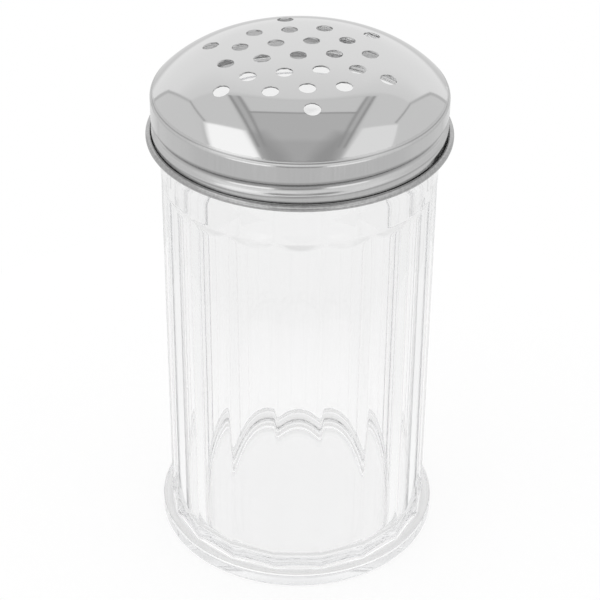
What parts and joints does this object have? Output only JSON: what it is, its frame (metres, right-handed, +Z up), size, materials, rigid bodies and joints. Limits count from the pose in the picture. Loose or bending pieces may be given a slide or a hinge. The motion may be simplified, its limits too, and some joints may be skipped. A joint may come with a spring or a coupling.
{
  "type": "restaurant spice shaker",
  "caption": "Clear panelled glass shaker jar with a perforated domed metal screw cap, for sprinkling spices, cheese or sugar at the table.",
  "frame": {"origin": "centre of the ring that the jar stands on, at table level", "axes": "+Z up along the jar's axis, -Y towards the front of the picture's view, +X to its right"},
  "size_m": [0.0762, 0.0762, 0.1388],
  "materials": {
    "clear_glass": "clear, fire polished",
    "stainless_steel": "polished dome, satin band"
  },
  "bodies": {
    "jar": {"glass_jar": "clear_glass"},
    "cap": {"perforated_cap": "stainless_steel"}
  },
  "joints": [
    {"name": "cap_turn", "type": "hinge", "parent": "jar", "child": "cap", "pos_m": [0, 0, 0.122], "axis": [0, 0, 1], "range_deg": [0, 170]}
  ]
}
